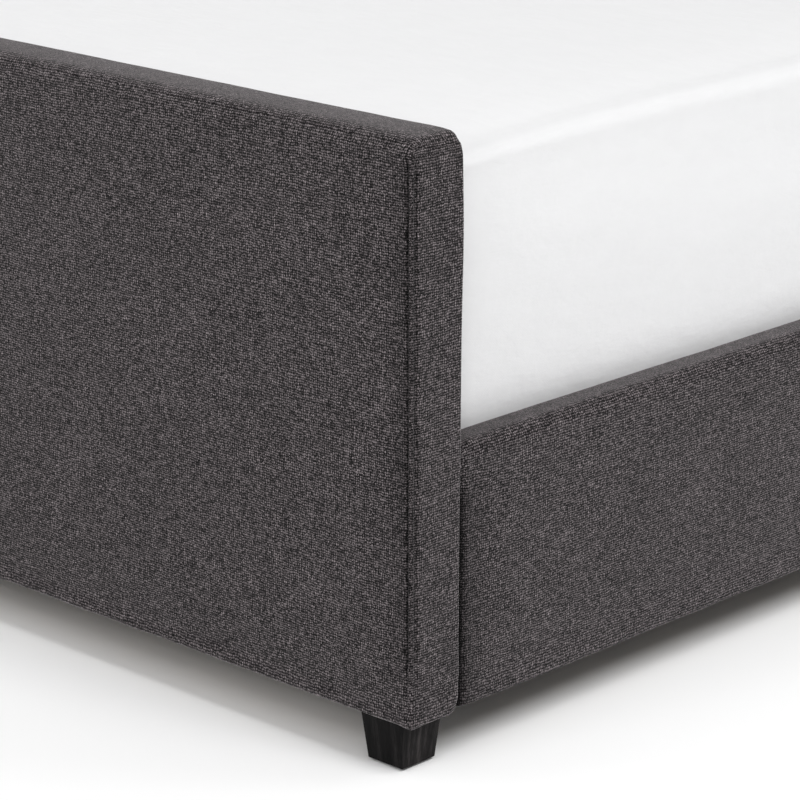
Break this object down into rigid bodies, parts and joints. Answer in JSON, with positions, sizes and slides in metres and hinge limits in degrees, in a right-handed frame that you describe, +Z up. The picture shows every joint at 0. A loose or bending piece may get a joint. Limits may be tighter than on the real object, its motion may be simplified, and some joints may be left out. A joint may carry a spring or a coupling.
{
  "type": "sleigh bed",
  "caption": "Upholstered sleigh bed: straight padded footboard, back-swept headboard, deep fabric side rails, short tapered black legs, slatted base, thick white mattress.",
  "frame": {"origin": "on the floor, in the middle of the bed's footprint, including the headboard's overhang", "axes": "+Z up, +Y towards the head end, +X to the sleeper's left as they lie on their back with the head at +Y"},
  "size_m": [1.64, 2.2992, 1.1361],
  "materials": {
    "charcoal_weave": "matte",
    "foam": "matte",
    "timber": "matte",
    "slat_wood": "matte",
    "black_stained_wood": "satin",
    "black_steel": "satin",
    "zinc_steel": "satin",
    "grey_nylon": "matte",
    "white_ticking": "matte"
  },
  "bodies": {
    "frame": {"beam_hanger_front": "black_steel", "beam_hanger_rear": "black_steel", "centre_beam": "timber", "centre_leg_1": "black_stained_wood", "centre_leg_2": "black_stained_wood", "corner_leg_front_left": "black_stained_wood", "corner_leg_front_right": "black_stained_wood", "corner_leg_rear_left": "black_stained_wood", "corner_leg_rear_right": "black_stained_wood", "footboard_core": "timber", "footboard_cover": "charcoal_weave", "footboard_padding": "foam", "headboard_core": "timber", "headboard_cover": "charcoal_weave", "headboard_padding": "foam", "leg_bolt_front_left": "zinc_steel", "leg_bolt_front_right": "zinc_steel", "leg_bolt_rear_left": "zinc_steel", "leg_bolt_rear_right": "zinc_steel", "leg_glide_front_left": "grey_nylon", "leg_glide_front_right": "grey_nylon", "leg_glide_rear_left": "grey_nylon", "leg_glide_rear_right": "grey_nylon", "rail_bolt_front_left_lower": "zinc_steel", "rail_bolt_front_left_upper": "zinc_steel", "rail_bolt_front_right_lower": "zinc_steel", "rail_bolt_front_right_upper": "zinc_steel", "rail_bolt_rear_left_lower": "zinc_steel", "rail_bolt_rear_left_upper": "zinc_steel", "rail_bolt_rear_right_lower": "zinc_steel", "rail_bolt_rear_right_upper": "zinc_steel", "rail_bracket_front_left": "black_steel", "rail_bracket_front_right": "black_steel", "rail_bracket_rear_left": "black_steel", "rail_bracket_rear_right": "black_steel", "side_rail_board_left": "timber", "side_rail_board_right": "timber", "side_rail_cover_left": "charcoal_weave", "side_rail_cover_right": "charcoal_weave", "side_rail_padding_left": "foam", "side_rail_padding_right": "foam", "slat_01": "slat_wood", "slat_02": "slat_wood", "slat_03": "slat_wood", "slat_04": "slat_wood", "slat_05": "slat_wood", "slat_06": "slat_wood", "slat_07": "slat_wood", "slat_08": "slat_wood", "slat_09": "slat_wood", "slat_10": "slat_wood", "slat_11": "slat_wood", "slat_12": "slat_wood", "slat_ledger_left": "timber", "slat_ledger_right": "timber"},
    "mattress": {"mattress": "white_ticking"},
    "leveller_1": {"leveller_stem_1": "zinc_steel", "leveller_pad_1": "grey_nylon"},
    "leveller_2": {"leveller_stem_2": "zinc_steel", "leveller_pad_2": "grey_nylon"}
  },
  "joints": [
    {"name": "mattress_lift", "type": "slide", "parent": "frame", "child": "mattress", "axis": [0, 0, 1], "range_m": [0, 0.45]},
    {"name": "leveller_1_screw", "type": "slide", "parent": "frame", "child": "leveller_1", "axis": [0, 0, -1], "range_m": [0, 0.012]},
    {"name": "leveller_2_screw", "type": "slide", "parent": "frame", "child": "leveller_2", "axis": [0, 0, -1], "range_m": [0, 0.012]}
  ]
}
